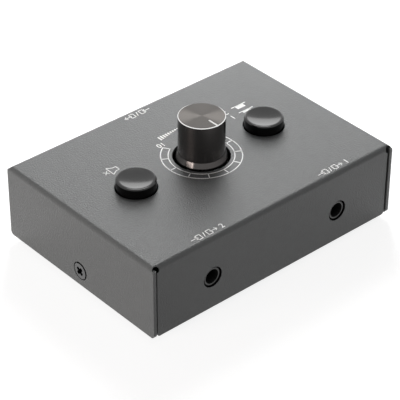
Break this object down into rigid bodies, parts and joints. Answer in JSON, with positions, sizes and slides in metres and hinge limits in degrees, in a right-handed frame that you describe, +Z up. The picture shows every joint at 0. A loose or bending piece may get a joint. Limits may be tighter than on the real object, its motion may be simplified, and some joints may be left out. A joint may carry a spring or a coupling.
{
  "type": "desktop volume controller",
  "caption": "Small folded steel box with a volume knob, two latching round buttons and 3.5 mm sockets in its front and rear walls, for switching and levelling loudspeakers.",
  "frame": {"origin": "on the ground, under the middle of the case", "axes": "+X to the right seen from the front, +Y towards the rear wall with two sockets, +Z up"},
  "size_m": [0.095, 0.0676, 0.0411],
  "materials": {
    "cover_coating": "fine textured grey powder coat",
    "tray_coating": "fine textured grey powder coat",
    "foot_rubber": "matt black rubber",
    "zinc_plate": "zinc plated steel",
    "board_laminate": "green solder mask on glass laminate",
    "jack_plastic": "moulded black nylon",
    "tinned_contacts": "tinned bronze",
    "cast_zinc": "die-cast zinc",
    "track_laminate": "phenolic paper laminate with carbon track",
    "black_moulding": "moulded black plastic",
    "steel_shaft": "turned aluminium or steel shaft",
    "spring_steel": "bright spring steel",
    "wiper_plastic": "moulded acetal",
    "knob_aluminium": "black anodised aluminium, turned top, diamond-cut rim and pointer",
    "switch_plastic": "moulded natural nylon",
    "button_plastic": "polished black ABS",
    "resistor_paint": "lacquered metal film resistor",
    "black_zinc": "black zinc plated steel",
    "panel_ink": "white screen-printed ink"
  },
  "bodies": {
    "root": {"top_cover": "cover_coating", "base_tray": "tray_coating", "foot_front_left": "foot_rubber", "foot_front_right": "foot_rubber", "foot_rear_left": "foot_rubber", "foot_rear_right": "foot_rubber", "side_screws": "black_zinc", "tray_nuts": "zinc_plate", "circuit_board": "board_laminate", "board_standoffs": "zinc_plate", "board_screws": "zinc_plate", "front_jack_housing": "jack_plastic", "rear_left_jack_housing": "jack_plastic", "rear_right_jack_housing": "jack_plastic", "front_jack_contacts": "tinned_contacts", "rear_left_jack_contacts": "tinned_contacts", "rear_right_jack_contacts": "tinned_contacts", "pot_housing": "cast_zinc", "pot_clamp": "zinc_plate", "pot_upper_track": "track_laminate", "pot_lower_track": "track_laminate", "pot_upper_ring": "black_moulding", "pot_lower_ring": "black_moulding", "pot_terminals": "tinned_contacts", "left_switch_body": "switch_plastic", "right_switch_body": "switch_plastic", "left_switch_lid": "switch_plastic", "right_switch_lid": "switch_plastic", "left_switch_pins": "tinned_contacts", "right_switch_pins": "tinned_contacts", "left_switch_spring": "spring_steel", "right_switch_spring": "spring_steel", "resistors": "resistor_paint"},
    "knob": {"volume_shaft": "steel_shaft", "shaft_clip": "spring_steel", "pot_wipers": "wiper_plastic", "knob_core": "black_moulding", "knob_shell": "knob_aluminium"},
    "left_button": {"left_switch_plunger": "switch_plastic", "left_button_cap": "button_plastic"},
    "right_button": {"right_switch_plunger": "switch_plastic", "right_button_cap": "button_plastic"}
  },
  "joints": [
    {"name": "volume_turn", "type": "hinge", "parent": "root", "child": "knob", "pos_m": [0, 0, 0.027], "axis": [0, 0, 1], "range_deg": [-150, 150]},
    {"name": "left_press", "type": "slide", "parent": "root", "child": "left_button", "axis": [0, 0, -1], "range_m": [0, 0.002], "stiffness_N_per_m": 750, "springref_m": -0.0008, "deforming": ["left_switch_spring"]},
    {"name": "right_press", "type": "slide", "parent": "root", "child": "right_button", "axis": [0, 0, -1], "range_m": [0, 0.002], "stiffness_N_per_m": 750, "springref_m": -0.0008, "deforming": ["right_switch_spring"]}
  ]
}
